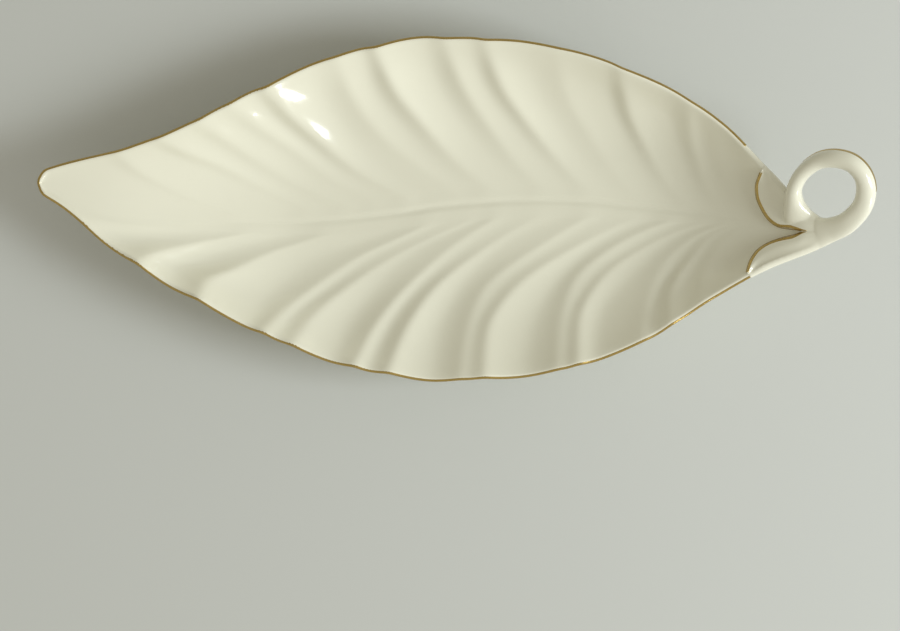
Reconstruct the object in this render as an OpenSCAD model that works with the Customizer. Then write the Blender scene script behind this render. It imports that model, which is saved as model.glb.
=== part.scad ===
// A fluted porcelain dish in the shape of a leaf. Its stem curls up and round into a finger loop.
// Units are millimetres. The leaf lies along X, from its tip at -X to the loop at +X, and stands on z = 0.
// Places along the leaf are shares of its length: 0 is the tip, 1 is the joint with the stem.
// Places across it are shares of half its width, from the dish's centre line.

/* [Leaf dish] */
// Length of the leaf, from its tip to the joint with the stem
leaf_l = 231.2; // [190:0.2:290]
// Width of the leaf over its edge
leaf_w = 103.4; // [84:0.2:130]
// Height of the edge above the table, halfway along
rim_h = 24; // [18:0.5:34]
// Thickness of the wall at the edge
rim_wall = 2.2; // [1.6:0.1:3.2]
// Thickness of the floor
floor_wall = 2.6; // [2:0.1:4]
// Height of a flute at the edge, from its valley to its crest
flute_h = 3; // [0.5:0.1:4.5]
// Depth of the dent that each crest makes in the edge
dent_depth = 0.8; // [0:0.1:1.6]
// Depth of the fine groove along the midrib
groove_depth = 0.4; // [0.2:0.1:0.8]
// Half the width of the groove along the midrib
groove_r = 1.1; // [0.6:0.1:2]
// Length of the leaf's tip that is rounded off
tip_round = 2.6; // [1:0.1:5]

/* [Foot ring] */
// Length of the foot ring
foot_l = 110; // [80:1:130]
// Width of the foot ring
foot_w = 31; // [24:1:40]
// Height of the foot ring
foot_h = 2.2; // [1.5:0.1:4]
// Thickness of the foot ring's wall
foot_wall = 3; // [2:0.1:5]
// Bevel at the bottom of the foot ring
foot_bevel = 0.4; // [0.2:0.1:0.8]

/* [Stem and loop] */
// Width across the loop, between the middles of its strap
loop_d = 21.1; // [18:0.1:28]
// Width of the stem at its joint with the leaf
stem_w = 9.9; // [8:0.1:12]
// Thickness of the stem at its joint with the leaf
stem_t = 3.8; // [3:0.1:5.5]
// Width of the loop's strap, along the axis of the loop
strap_w = 6.6; // [4:0.1:8]
// Thickness of the loop's strap, outwards from the axis of the loop
strap_t = 5.4; // [3:0.1:6.5]

/* [Lobes] */
// Distance that the lobes reach back over the leaf from the joint
lobe_l = 21; // [16:0.5:26]
// Thickness of a lobe at its free edge
lobe_t = 1.1; // [0.7:0.1:1.8]

/* [Gilding] */
// Thickness of the gold lines
gold_t = 0.15; // [0.1:0.01:0.3]

/* [Hidden] */

ivory = "#efe9d3";
gold = "#c49a45";

// Clearance left for the slip between pieces that are luted together on a curved face
slip_gap = 0.06;

half_w = leaf_w / 2;
floor_z = foot_h + floor_wall;
loop_reach_share = 0.645;
overall_l = leaf_l + loop_d * loop_reach_share + strap_t / 2;
tip_x = -overall_l / 2;
joint_x = tip_x + leaf_l;

// Outline of the leaf: place along it, then the edge across it. Upper is the +Y edge, lower the -Y edge.
upper_edge_shares = [[0, 0.166], [0.045, 0.257], [0.109, 0.34], [0.173, 0.456], [0.276, 0.685],
    [0.403, 0.915], [0.499, 0.994], [0.576, 0.988], [0.665, 0.934], [0.786, 0.749], [0.875, 0.513],
    [0.933, 0.246], [0.985, 0], [1, -0.041]];
lower_edge_shares = [[0, 0.112], [0.033, 0.006], [0.084, -0.199], [0.167, -0.445], [0.269, -0.685],
    [0.378, -0.886], [0.448, -0.961], [0.512, -0.994], [0.572, -0.99], [0.678, -0.928], [0.773, -0.78],
    [0.875, -0.497], [0.939, -0.335], [1, -0.234]];
// The midrib's line across the leaf, and how far it has climbed from the floor towards the edge's height
midrib_shares = [[0, 0.139], [0.05, 0.035], [0.1, -0.031], [0.148, -0.064], [0.218, -0.079], [0.371, -0.064],
    [0.467, -0.008], [0.563, 0.044], [0.658, 0.062], [0.754, 0.041], [0.875, -0.023], [0.985, -0.126],
    [1, -0.137]];
climb_shares = [[0, 1.1], [0.088, 0.84], [0.176, 0.49], [0.256, 0.22], [0.336, 0.04], [0.42, 0], [0.67, 0],
    [0.76, 0.03], [0.824, 0.13], [0.874, 0.337], [0.924, 0.648], [0.972, 1], [1, 1.19]];
// Height of each edge, as shares of rim_h
lower_rim_shares = [[0, 1.1], [0.087, 1], [0.2, 1.02], [0.32, 0.97], [0.45, 0.935], [0.55, 0.935], [0.655, 0.96],
    [0.754, 0.965], [0.844, 0.95], [0.922, 1.01], [1, 1.15]];
upper_rim_shares = [[0, 1.1], [0.087, 1.05], [0.2, 1.04], [0.32, 1], [0.45, 0.97], [0.55, 0.985], [0.655, 1.03],
    [0.754, 1.05], [0.844, 1.01], [0.922, 1.01], [1, 1.15]];
// Bowl's rise across the leaf, from the midrib to the edge
bowl_power = 2.1;

// Flutes: where each crest meets the edge and where it reaches the midrib, and how strong it is
lower_crest_shares = [0, 0.123, 0.201, 0.324, 0.447, 0.57, 0.692, 0.811, 0.873, 0.93, 1];
upper_crest_shares = [0, 0.095, 0.17, 0.306, 0.435, 0.572, 0.746, 0.836, 0.885, 0.935, 1];
midrib_crest_shares = [0, 0.27, 0.433, 0.582, 0.688, 0.773, 0.85, 0.903, 0.937, 0.967, 1];
flute_shares = [[0, 0], [0.04, 0.25], [0.1, 0.85], [0.2, 0.8], [0.33, 0.75], [0.5, 1], [0.6, 0.95],
    [0.72, 0.75], [0.8, 0.45], [0.86, 0.2], [0.93, 0], [1, 0]];
// One flute from crest to crest: a broad valley, a second lower crest and a shallow groove. The power narrows
// the crests and broadens the valleys.
flute_form_shares = [[0, 1], [0.42, 0], [0.75, 0.7], [0.875, 0.62], [1, 1]];
crest_power = 1.4;
flute_fade_power = 1.4;
vein_bend_share = 0.25;
// Beyond this share of its run, each row of the skin crosses the midrib squarely
vein_end_share = 0.83;
groove_fade_shares = [[0, 0], [0.22, 0.1], [0.38, 0.6], [0.5, 1], [0.75, 1], [0.88, 0.35], [0.93, 0], [1, 0]];

flutes = len(lower_crest_shares) - 1;
steps_per_flute = 8;
stations = flutes * steps_per_flute;
rings = 12;
lip_steps = 5;

// A smooth line through a table of places and values. It never swings past a value.
function cell(table, a, i = 0) = i >= len(table) - 2 || a <= table[i + 1][0] ? i : cell(table, a, i + 1);
function steep(table, i) = (table[i + 1][1] - table[i][1]) / (table[i + 1][0] - table[i][0]);
function lean(table, i) =
    i == 0 ? steep(table, 0) :
    i == len(table) - 1 ? steep(table, i - 1) :
    let (before = steep(table, i - 1), after = steep(table, i))
    before * after <= 0 ? 0 : 2 * before * after / (before + after);
function look(table, a) =
    let (
        i = cell(table, a),
        span = table[i + 1][0] - table[i][0],
        u = min(max((a - table[i][0]) / span, 0), 1)
    )
    (2 * u ^ 3 - 3 * u ^ 2 + 1) * table[i][1] + (u ^ 3 - 2 * u ^ 2 + u) * span * lean(table, i)
    + (3 * u ^ 2 - 2 * u ^ 3) * table[i + 1][1] + (u ^ 3 - u ^ 2) * span * lean(table, i + 1);
function ease(u) = let (v = min(max(u, 0), 1)) v * v * (3 - 2 * v);
function mix(from, to, u) = from + (to - from) * u;
function unit(v) = v / norm(v);

// The dish's own form, without its flutes
lip_r = rim_wall / 2;
lip_out_share = 0.7;
lip_out = rim_wall * lip_out_share;
probe_share = 0.0005;
probe = leaf_l * probe_share;
steepest = 1.2;
past_edge_share = 1.3;
joint_ease_share = 0.05;
function along(x) = (x - tip_x) / leaf_l;
function midrib_y(x) = half_w * look(midrib_shares, along(x));
function outline_y(x, upper) = half_w * look(upper ? upper_edge_shares : lower_edge_shares, along(x));
function tip_ease(x) = let (u = (x - tip_x - lip_r) / tip_round) u >= 1 ? 1 : sqrt(max(1 - (1 - u) ^ 2, 0));
function edge_y(x, upper) =
    let (
        rise = (outline_y(x + probe, upper) - outline_y(x - probe, upper)) / (2 * probe),
        inset = lip_out * sqrt(1 + rise ^ 2),
        mid = midrib_y(x)
    )
    mid + (outline_y(x, upper) + (upper ? -inset : inset) - mid) * tip_ease(x);
function midrib_z(x) = floor_z + (rim_h - floor_z) * look(climb_shares, along(x));
function rim_z(x, upper) = rim_h * look(upper ? upper_rim_shares : lower_rim_shares, along(x));
function form_z(x, y) =
    let (
        mid = midrib_y(x),
        upper = y > mid,
        reach = max(abs(edge_y(x, upper) - mid), probe),
        q = min(abs(y - mid) / reach, past_edge_share)
    )
    midrib_z(x) + (rim_z(x, upper) - midrib_z(x)) * q ^ bowl_power;
function form_normal(x, y) =
    let (
        flat = ease((1 - along(x)) / joint_ease_share),
        in_x = max(x, tip_x + tip_round),
        slope_x = (form_z(in_x + probe, y) - form_z(in_x - probe, y)) / (2 * probe),
        slope_y = (form_z(in_x, y + probe) - form_z(in_x, y - probe)) / (2 * probe)
    )
    unit([-min(max(slope_x, -steepest), steepest) * flat, -min(max(slope_y, -steepest), steepest), 1]);

// The flutes, along veins that leave the midrib forwards and turn out to the edge. A row of the skin runs along
// each vein. The rows crowd towards the tip.
function station_share(n, table) =
    let (i = min(floor(n), flutes - 1))
    n < 1 ? table[1] * n ^ 2 : mix(table[i], table[i + 1], n - i);
function flute_form(n) =
    let (f = n - floor(n), i = cell(flute_form_shares, f), from = flute_form_shares[i], to = flute_form_shares[i + 1])
    mix(from[1], to[1], ease((f - from[0]) / (to[0] - from[0]))) ^ crest_power;
function dish_point(n, t, upper) =
    let (
        edge = station_share(n, upper ? upper_crest_shares : lower_crest_shares),
        reach = station_share(n, midrib_crest_shares) - edge,
        first_x = tip_x + lip_r,
        s = min(t / vein_end_share, 1),
        x = first_x + (joint_x - first_x) * (edge + reach * (2 * vein_bend_share * s * (1 - s) + s * s)),
        q = (1 - t) ^ 2,
        mid = midrib_y(x),
        crest = flute_form(n),
        dent = dent_depth * crest * (1 - t) ^ 3 * min(look(flute_shares, edge), 1) * (upper ? -1 : 1),
        y = mid + (edge_y(x, upper) - mid) * q + dent,
        flute = flute_h * look(flute_shares, edge) * (crest - 0.5) * (1 - t) ^ flute_fade_power,
        groove = groove_depth * look(groove_fade_shares, along(x)) * exp(-((y - mid) / groove_r) ^ 2)
    )
    [x, y, midrib_z(x) + (rim_z(x, upper) - midrib_z(x)) * q ^ bowl_power + flute, groove];
function top_point(p) = [p.x, p.y, p.z - p[3]];

// The foot's oval, and the underside, which is flat where the foot meets it
foot_x = tip_x + leaf_l * 0.543;
foot_y = half_w * 0.018;
foot_turn = 1.6;
function foot_radius(x, y) =
    let (
        u = (x - foot_x) * cos(foot_turn) + (y - foot_y) * sin(foot_turn),
        v = (y - foot_y) * cos(foot_turn) - (x - foot_x) * sin(foot_turn)
    )
    norm([u / (foot_l / 2), v / (foot_w / 2)]);
function under_point(p, t) =
    let (
        wall = mix(rim_wall, floor_wall, min(2 * t, 1)),
        at = [p.x, p.y, p.z] - wall * form_normal(p.x, p.y)
    )
    [at.x, at.y, mix(foot_h, at.z, ease((foot_radius(at.x, at.y) - 1.05) / 0.4))];

// The rounded lip bulges out between the upper and the lower surface of the wall
function lip_point(inner, outer, out, turn) =
    let (
        up = unit(inner - outer),
        side = unit(out - (out * up) * up),
        r = norm(inner - outer) / 2
    )
    (inner + outer) / 2 + r * (up * cos(turn) + side * sin(turn));
function edge_out(n, upper) =
    n <= 0 ? [-1, 0, 0] :
    let (
        from = dish_point(max(n - 0.05, 0), 0, upper),
        to = dish_point(min(n + 0.05, flutes), 0, upper),
        run = unit([to.x - from.x, to.y - from.y])
    )
    n >= flutes ? [0, upper ? 1 : -1, 0] : upper ? [-run.y, run.x, 0] : [run.y, -run.x, 0];
function lip(n, upper) =
    let (p = dish_point(n, 0, upper), inner = top_point(p), outer = under_point(p, 0), out = edge_out(n, upper))
    [for (k = [1 : lip_steps - 1]) lip_point(inner, outer, out, 180 * k / lip_steps)];

// Triangles of a skin over closed loops of points. Where the first loop is folded flat on itself, its second
// half shares the points of its first, and hinge is the sum of the places of two points that meet.
// Each four-sided cell is cut along its shorter diagonal.
function skin_faces(loops, hinge = 0) =
    let (
        m = len(loops[0]),
        fold = [for (j = [0 : m - 1]) hinge > 0 && j > hinge / 2 && j < (hinge + m) / 2 ? (hinge - j + m) % m : j]
    )
    [for (i = [0 : len(loops) - 2], j = [0 : m - 1])
        let (
            k = (j + 1) % m,
            a = i == 0 ? fold[j] : i * m + j,
            b = i == 0 ? fold[k] : i * m + k,
            c = (i + 1) * m + k,
            d = (i + 1) * m + j,
            straight = norm(loops[i][j] - loops[i + 1][k]) <= norm(loops[i][k] - loops[i + 1][j])
        )
        each straight ? [[a, b, c], [a, c, d]] : [[a, b, d], [b, c, d]]];
function flatten(loops) = [for (loop = loops) each loop];
// End faces of a loop that runs out along one side and back along the other
function ladder(first, m, flip) =
    let (h = m / 2)
    [for (j = [0 : h - 2])
        let (a = first + j, b = first + j + 1, c = first + m - 2 - j, d = first + m - 1 - j)
        each flip ? [[a, c, b], [a, d, c]] : [[a, b, c], [a, c, d]]];
function fan(first, m, flip) =
    [for (j = [1 : m - 2]) flip ? [first, first + j + 1, first + j] : [first, first + j, first + j + 1]];

// One closed loop of the dish's skin: over the top, round the lower lip, back under and round the upper lip
function dish_loop(n) =
    let (
        upper = [for (k = [0 : rings]) dish_point(n, k / rings, true)],
        lower = [for (k = [0 : rings]) dish_point(n, k / rings, false)]
    )
    concat(
        [for (k = [0 : rings]) top_point(upper[k])],
        [for (k = [rings - 1 : -1 : 0]) top_point(lower[k])],
        lip(n, false),
        [for (k = [0 : rings]) under_point(lower[k], k / rings)],
        [for (k = [rings - 1 : -1 : 0]) under_point(upper[k], k / rings)],
        [for (k = [lip_steps - 2 : -1 : 0]) lip(n, true)[k]]
    );

// The joint's end face is filled between the upper and lower surfaces, and then over the two lips.
function joint_faces(first) =
    let (m = 4 * rings + 2 + 2 * (lip_steps - 1), span = 2 * rings, back = 2 * rings + lip_steps)
    concat(
        [for (j = [0 : span - 1])
            let (a = first + j, b = first + j + 1, c = first + back + span - j - 1, d = first + back + span - j)
            each [[a, b, c], [a, c, d]]],
        [for (k = [0 : lip_steps - 2]) [first + span, first + span + k + 1, first + span + k + 2]],
        [for (k = [0 : lip_steps - 2])
            let (last = back + span)
            [first, first + last + k, first + (last + k + 1) % m]]
    );

module leaf_dish() {
    loops = [for (i = [0 : stations]) dish_loop(i / steps_per_flute)];
    color(ivory)
        polyhedron(
            points = flatten(loops),
            faces = concat(skin_faces(loops, 2 * rings), joint_faces(stations * len(loops[0])))
        );
}

module foot_oval(inset) {
    points = [for (turn = [0 : 5 : 355])
        [(foot_l / 2 - inset) * cos(turn), (foot_w / 2 - inset) * sin(turn)]];
    polygon(points);
}

module foot_band(height, inset) {
    linear_extrude(height)
        difference() {
            foot_oval(inset);
            foot_oval(foot_wall - inset);
        }
}

module foot_ring() {
    color(ivory)
        translate([foot_x, foot_y, 0])
            rotate([0, 0, foot_turn]) {
                foot_band(foot_bevel, foot_bevel);
                translate([0, 0, foot_bevel])
                    foot_band(foot_h - foot_bevel, 0);
            }
}

// The stem and loop: one strap swept along a curve from the joint.
// Each row is a place as shares of loop_d from the joint, how far the section still lies flat like the stem's,
// and the shares of its width and of its thickness that it has there.
strap_shares = [
    [0, 0, 0, 1, 1, 1],
    [0.19, 0.04, 0.11, 0.85, 0.79, 0.88],
    [0.39, 0.135, 0.25, 0.6, 0.82, 0.78],
    [0.57, 0.34, 0.41, 0.25, 0.94, 0.78],
    [0.635, 0.57, 0.52, 0, 1.14, 0.86],
    [0.585, 0.79, 0.58, 0, 1.08, 0.97],
    [0.43, 0.96, 0.58, 0, 1.04, 1.02],
    [0.2, 1.02, 0.5, 0, 1.02, 1],
    [-0.02, 0.99, 0.38, 0, 0.95, 0.93],
    [-0.22, 0.84, 0.24, 0, 0.86, 0.84],
    [-0.325, 0.64, 0.14, 0, 0.8, 0.8],
    [-0.335, 0.44, 0.055, 0, 0.8, 0.8],
    [-0.29, 0.27, 0.015, 0, 0.78, 0.78],
    [-0.21, 0.17, 0.025, 0, 0.55, 0.55]];
loop_axis_share = [-0.33, -0.36, 0.87];
strap_steps = 3;
strap_sides = 12;
tail_first = 10;
rows = len(strap_shares) - 1;
stem_sink_share = 0.11;
stem_base = [joint_x, midrib_y(joint_x), midrib_z(joint_x) - stem_t * stem_sink_share];

function strap_share(u, column) = look([for (i = [0 : rows]) [i, strap_shares[i][column]]], u);
// Catmull-Rom curve through the rows, with a straight start
function strap_row(i) =
    i < 0 ? [-0.19, 0, -0.06] :
    i > rows ? 2 * strap_row(rows) - strap_row(rows - 1) :
    [strap_shares[i][0], strap_shares[i][1], strap_shares[i][2]];
function strap_at(u) =
    let (
        i = min(floor(u), rows - 1),
        v = u - i,
        a = strap_row(i - 1),
        b = strap_row(i),
        c = strap_row(i + 1),
        d = strap_row(i + 2)
    )
    stem_base + loop_d / 2 * (2 * b + (c - a) * v + (2 * a - 5 * b + 4 * c - d) * v ^ 2
    + (3 * b - a - 3 * c + d) * v ^ 3);
function strap_frame(u) =
    let (
        small = 0.02,
        run = u <= 0 ? [1, 0, 0] : unit(strap_at(min(u + small, rows)) - strap_at(u - small)),
        flat = strap_share(u, 3),
        up = unit(mix(unit(loop_axis_share), [0, 0, 1], flat)),
        out = unit(cross(run, up))
    )
    [out, cross(out, run)];
function strap_size(u) =
    let (flat = strap_share(u, 3))
    [mix(strap_t, stem_w, flat) / 2 * strap_share(u, 4), mix(strap_w, stem_t, flat) / 2 * strap_share(u, 5)];
// The tail lies on the upper lobe, and its underside takes the lobe's form
function strap_point(u, turn, proud = 0) =
    let (
        frame = strap_frame(u),
        size = strap_size(u),
        at = strap_at(u) + frame[0] * (size[0] + proud) * cos(turn) + frame[1] * (size[1] + proud) * sin(turn)
    )
    u < tail_first ? at : [at.x, at.y, max(at.z, upper_lobe_z(at.x, at.y) + slip_gap)];
function strap_loop(u) = [for (k = [0 : strap_sides - 1]) strap_point(u, 360 * k / strap_sides)];

module stem_loop() {
    loops = [for (i = [0 : rows * strap_steps]) strap_loop(i / strap_steps)];
    last = len(loops) - 1;
    color(ivory)
        polyhedron(
            points = flatten(loops),
            faces = concat(
                skin_faces(loops),
                fan(0, strap_sides, true),
                fan(last * strap_sides, strap_sides, false)
            )
        );
}

// The two lobes of the calyx lie on the base of the leaf, wrap its edge and run out into the stem.
// Each row is the free edge's distance back from the joint as a share of lobe_l, its place across as a share
// of half_w, and the distance back of the point on the leaf's edge that it is joined to.
upper_lobe_shares = [[0.795, 0.217, 0.785], [0.852, 0.132, 0.714], [0.838, 0.074, 0.643], [0.767, 0, 0.548],
    [0.667, -0.062, 0.452], [0.529, -0.103, 0.357], [0.386, -0.114, 0.238], [0.162, -0.128, 0.095],
    [0, -0.137, 0]];
lower_lobe_shares = [[1, -0.371, 0.976], [0.948, -0.308, 0.88], [0.838, -0.24, 0.76], [0.695, -0.199, 0.643],
    [0.529, -0.172, 0.5], [0.314, -0.149, 0.295], [0.162, -0.133, 0.152], [0, -0.137, 0]];
lobe_width_shares = [0, 0.12, 0.5, 0.866, 1];
lobe_free_share = 0.65;
lobe_rise_share = 0.25;
lobe_meet_share = 0.8;
lobe_feather_share = 0.05;
lobe_steps = 2;
lobe_turns = [60, 120, 150];

function lobe_share(u, column, upper) =
    let (rows = upper ? upper_lobe_shares : lower_lobe_shares)
    look([for (i = [0 : len(rows) - 1]) [i, rows[i][column]]], u);
function lobe_rows(upper) = len(upper ? upper_lobe_shares : lower_lobe_shares) - 1;
function lobe_plan(u, v, upper) =
    let (
        free = [joint_x - lobe_l * lobe_share(u, 0, upper), half_w * lobe_share(u, 1, upper)],
        edge_x = joint_x - lobe_l * lobe_share(u, 2, upper)
    )
    mix(free, [edge_x, edge_y(edge_x, upper)], v);
// Top of the stem's section at the joint
function stem_top(y) =
    stem_base.z + stem_t / 2 * sqrt(max(1 - ((y - stem_base.y) / (stem_w / 2)) ^ 2, 0));
function lobe_height(u, v, upper) =
    let (
        at = lobe_plan(u, v, upper),
        meet = mix(stem_base.y, stem_base.y + (upper ? 1 : -1) * stem_w / 2 * lobe_meet_share, v),
        rise = ease(1 - (joint_x - at.x) / (lobe_l * lobe_rise_share)),
        thin = lobe_t * (v == 0 ? lobe_free_share : 1)
    )
    mix(thin, stem_top(meet) - form_z(at.x, at.y), rise);
function upper_lobe_z(x, y) =
    let (rise = ease(1 - (joint_x - x) / (lobe_l * lobe_rise_share)))
    mix(form_z(x, y) + lobe_t, max(stem_top(y), form_z(x, y) + lobe_t), rise) + slip_gap;
function lobe_on_leaf(u, v, upper) =
    let (at = lobe_plan(u, v, upper))
    [at.x, at.y, form_z(at.x, at.y) + slip_gap];
function lobe_over_lip(u, turn, upper, proud) =
    let (
        at = lobe_plan(u, 1, upper),
        inner = [at.x, at.y, rim_z(at.x, upper)],
        outer = under_point(inner, 0),
        rise = (edge_y(at.x + probe, upper) - edge_y(at.x - probe, upper)) / (2 * probe),
        side = upper ? [-rise, 1, 0] : [rise, -1, 0],
        out = unit([u >= lobe_rows(upper) ? 0 : side.x, side.y, 0]),
        bulge = lip_point(inner, outer, out, turn),
        middle = (inner + outer) / 2
    )
    bulge + unit(bulge - middle) * (slip_gap + proud);
function lobe_top(u, v, upper) = lobe_on_leaf(u, v, upper) + [0, 0, lobe_height(u, v, upper)];
function lobe_loop(u, upper) =
    let (
        cover = lobe_height(u, 1, upper),
        loop = concat(
            [for (v = lobe_width_shares) lobe_top(u, v, upper)],
            [for (turn = lobe_turns)
                let (proud = max(cover * (1 - turn / lobe_turns[2]), lobe_t * lobe_feather_share))
                lobe_over_lip(u, turn, upper, proud)],
            [for (k = [len(lobe_turns) - 1 : -1 : 0]) lobe_over_lip(u, lobe_turns[k], upper, 0)],
            [for (k = [len(lobe_width_shares) - 1 : -1 : 0]) lobe_on_leaf(u, lobe_width_shares[k], upper)]
        )
    )
    upper ? loop : [for (k = [len(loop) - 1 : -1 : 0]) loop[k]];

// A solid lofted over loops that run out along one side and back along the other
module strip(loops) {
    m = len(loops[0]);
    polyhedron(
        points = flatten(loops),
        faces = concat(skin_faces(loops), ladder(0, m, true), ladder((len(loops) - 1) * m, m, false))
    );
}

module lobe(upper) {
    color(ivory)
        strip([for (i = [0 : lobe_rows(upper) * lobe_steps]) lobe_loop(i / lobe_steps, upper)]);
}
module upper_lobe() { lobe(true); }
module lower_lobe() { lobe(false); }

// Gold lines. The rim's follows the lip from the upper lobe round the tip to the lower lobe.
upper_gold_end = 8.5;
lower_gold_end = 9;
gold_lip_steps = 3;
function rim_gold_loop(n, upper) =
    let (
        p = dish_point(n, 0, upper),
        inner = top_point(p),
        outer = under_point(p, 0),
        middle = (inner + outer) / 2,
        on = [for (k = [0 : gold_lip_steps - 1]) lip(n, upper)[k]],
        over = [for (k = [gold_lip_steps - 1 : -1 : 0]) on[k] + gold_t * unit(on[k] - middle)]
    )
    concat(on, over);

module rim_gilding() {
    color(gold)
        strip(concat(
            [for (i = [upper_gold_end * steps_per_flute : -1 : 0]) rim_gold_loop(i / steps_per_flute, true)],
            [for (i = [1 : lower_gold_end * steps_per_flute]) rim_gold_loop(i / steps_per_flute, false)]
        ));
}

gold_depth_share = 0.3;
function lobe_gold_loop(u, upper) =
    let (
        foot = lobe_on_leaf(u, 0, upper),
        brow = lobe_top(u, 0, upper),
        back = lobe_top(u, lobe_width_shares[1], upper),
        low = mix(foot, brow, gold_depth_share),
        free = unit([foot.x - back.x, foot.y - back.y, 0]),
        loop = [low, brow, back, back + [0, 0, gold_t], brow + unit(free + [0, 0, 1]) * gold_t, low + free * gold_t]
    )
    upper ? [for (k = [5 : -1 : 0]) loop[k]] : loop;
module lobe_gilding(upper) {
    end = lobe_rows(upper) - 1;
    color(gold)
        strip([for (i = [0 : end * lobe_steps]) lobe_gold_loop(i / lobe_steps, upper)]);
}
module upper_lobe_gilding() { lobe_gilding(true); }
module lower_lobe_gilding() { lobe_gilding(false); }

loop_gold_first = 4;
loop_gold_last = 8.67;
module loop_gilding() {
    first = round(loop_gold_first * strap_steps);
    last = round(loop_gold_last * strap_steps);
    turns = [0, 30];
    color(gold)
        strip([for (i = [first : last])
            let (u = i / strap_steps)
            concat(
                [for (turn = turns) strap_point(u, turn)],
                [for (k = [len(turns) - 1 : -1 : 0]) strap_point(u, turns[k], gold_t)]
            )]);
}

leaf_dish();
foot_ring();
stem_loop();
upper_lobe();
lower_lobe();
rim_gilding();
upper_lobe_gilding();
lower_lobe_gilding();
loop_gilding();
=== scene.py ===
import math
import bpy
import bmesh
import numpy as np
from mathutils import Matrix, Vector
from mathutils.bvhtree import BVHTree


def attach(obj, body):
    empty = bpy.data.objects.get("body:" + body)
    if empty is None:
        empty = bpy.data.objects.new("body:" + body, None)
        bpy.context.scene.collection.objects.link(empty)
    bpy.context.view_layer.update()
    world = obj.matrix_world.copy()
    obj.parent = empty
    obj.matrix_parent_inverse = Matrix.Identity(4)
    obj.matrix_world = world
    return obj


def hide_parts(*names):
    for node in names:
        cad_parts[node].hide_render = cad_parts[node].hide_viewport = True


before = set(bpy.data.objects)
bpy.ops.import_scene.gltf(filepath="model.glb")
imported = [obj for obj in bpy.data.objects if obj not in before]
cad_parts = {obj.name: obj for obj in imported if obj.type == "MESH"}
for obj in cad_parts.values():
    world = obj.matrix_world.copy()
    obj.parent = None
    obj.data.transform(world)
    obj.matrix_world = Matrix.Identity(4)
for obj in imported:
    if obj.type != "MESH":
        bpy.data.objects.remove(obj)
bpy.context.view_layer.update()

mm = 0.001
probe = 0.1 * mm  # how far to each side a slope is measured
ahead = 0.05  # how far on a direction is measured, in veins or rows


def smoothLine(rows, column=1, blur=0.012):
    # a smooth line through places that were read off the dish
    rows = np.array(rows, float)
    x, y = rows[:, 0], rows[:, column]
    steep = np.diff(y) / np.diff(x)
    before, after = steep[:-1], steep[1:]
    turning = before * after <= 0
    lean = np.where(turning, 0, 2 * before * after / np.where(turning, 1, before + after))
    lean = np.concatenate([steep[:1], lean, steep[-1:]])
    count = 2001
    at = np.linspace(x[0], x[-1], count)
    i = np.clip(np.searchsorted(x, at, side="right") - 1, 0, len(x) - 2)
    span = x[i + 1] - x[i]
    u = (at - x[i]) / span
    line = ((2 * u**3 - 3 * u**2 + 1) * y[i] + (u**3 - 2 * u**2 + u) * span * lean[i]
            + (3 * u**2 - 2 * u**3) * y[i + 1] + (u**3 - u**2) * span * lean[i + 1])
    reach = int(blur * count * 3)
    if reach > 1:  # rounds the joins between the places, so that reflections run evenly over them
        weights = np.exp(-0.5 * (np.arange(-reach, reach + 1) / (blur * count)) ** 2)
        first = 2 * line[0] - line[reach:0:-1]
        last = 2 * line[-1] - line[-2:-reach - 2:-1]
        line = np.convolve(np.concatenate([first, line, last]), weights / weights.sum(), "valid")
    return lambda a: np.interp(a, at, line)


def ease(u):
    v = np.clip(u, 0, 1)
    return v * v * (3 - 2 * v)


def unit(v):
    return v / np.maximum(np.linalg.norm(v, axis=-1, keepdims=True), 1e-12)


def mix(a, b, u):
    return a + (b - a) * u


def gridMesh(points, caps=True):
    # a grid is laid over rows of points and closed round them, and caps fill its two ends
    rows, around = points.shape[:2]
    bm = bmesh.new()
    bmesh.ops.create_grid(bm, x_segments=around, y_segments=rows - 1, size=0.5)
    for v in bm.verts:
        j = round((v.co.x + 0.5) * around)
        i = round((v.co.y + 0.5) * (rows - 1))
        v.co = points[i, j % around]
    bmesh.ops.remove_doubles(bm, verts=bm.verts, dist=1e-7)
    bmesh.ops.dissolve_degenerate(bm, dist=1e-8, edges=bm.edges)
    if caps:
        bmesh.ops.holes_fill(bm, edges=[e for e in bm.edges if e.is_boundary], sides=0)
    bmesh.ops.recalc_face_normals(bm, faces=bm.faces)
    return bm


def finishPiece(bm, name, material, replaced):
    mesh = bpy.data.meshes.new(name)
    bm.to_mesh(mesh)
    bm.free()
    mesh.shade_smooth()
    piece = bpy.data.objects.new(name, mesh)
    bpy.context.scene.collection.objects.link(piece)
    mesh.materials.append(material)
    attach(piece, "root")
    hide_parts(*replaced)
    print("made", name, len(mesh.polygons), "faces")
    return piece


def surfaceOf(piece):
    mesh = piece.data
    return BVHTree.FromPolygons([v.co for v in mesh.vertices], [p.vertices for p in mesh.polygons])


class Wire:
    # a socket of a material's nodes, so that shader maths reads as maths
    def __init__(self, material, socket):
        self.material, self.socket = material, socket

    def maths(self, operation, *values):
        return addNode(self.material, "ShaderNodeMath", {"operation": operation}, *values)

    def __add__(self, other):
        return self.maths("ADD", self, other)

    def __radd__(self, other):
        return self.maths("ADD", other, self)

    def __sub__(self, other):
        return self.maths("SUBTRACT", self, other)

    def __rsub__(self, other):
        return self.maths("SUBTRACT", other, self)

    def __mul__(self, other):
        return self.maths("MULTIPLY", self, other)

    def __rmul__(self, other):
        return self.maths("MULTIPLY", other, self)

    def limit(self):
        return self.maths("MINIMUM", self.maths("MAXIMUM", self, 0.0), 1.0)


def feed(material, socket, value):
    if isinstance(value, Wire):
        material.node_tree.links.new(value.socket, socket)
    elif value is not None:
        socket.default_value = value


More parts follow.
